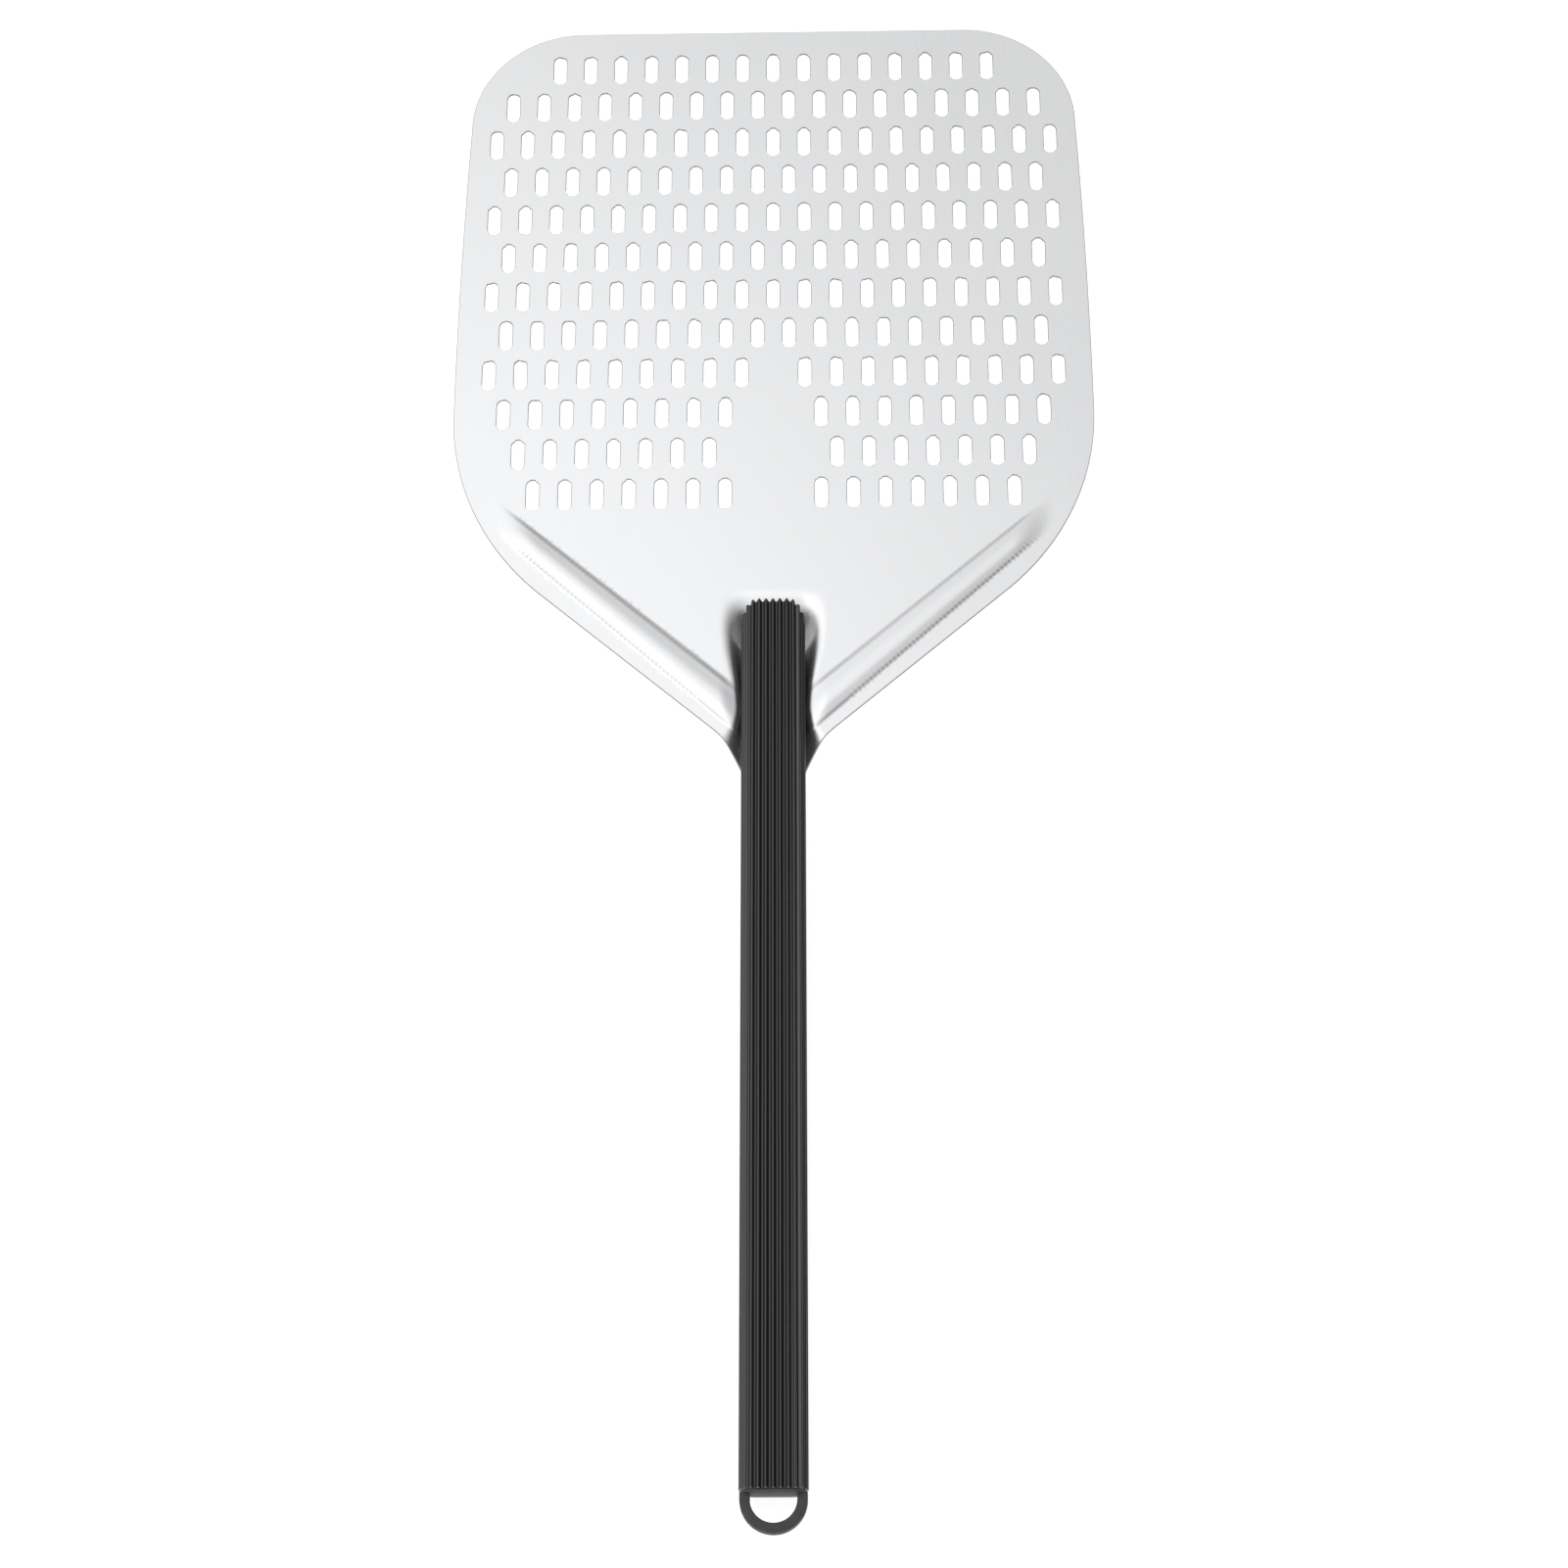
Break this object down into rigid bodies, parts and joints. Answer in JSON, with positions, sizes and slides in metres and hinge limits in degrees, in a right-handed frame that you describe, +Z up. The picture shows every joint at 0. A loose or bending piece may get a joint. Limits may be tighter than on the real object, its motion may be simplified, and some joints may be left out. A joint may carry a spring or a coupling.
{
  "type": "pizza peel",
  "caption": "Pizza peel: a wide, slotted, pressed sheet-metal blade riveted to a ribbed tube handle that ends in a moulded hanging loop.",
  "frame": {"origin": "bottom centre of the peel's bounding box", "axes": "+Y from the handle towards the blade's front edge, +Z up out of the blade's top face, +X to the right"},
  "size_m": [0.304, 0.746, 0.0182],
  "materials": {
    "blade_sheet": "fine satin anodised",
    "handle_extrusion": "satin black anodised",
    "cap_plastic": "fine matte moulding",
    "rivet_metal": "bright",
    "pin_steel": "plain zinc"
  },
  "bodies": {
    "root": {"blade": "blade_sheet", "handle_tube": "handle_extrusion", "end_cap": "cap_plastic", "rivet_front": "rivet_metal", "rivet_middle": "rivet_metal", "rivet_rear": "rivet_metal", "rivet_pin_front": "pin_steel", "rivet_pin_middle": "pin_steel", "rivet_pin_rear": "pin_steel"}
  },
  "joints": []
}
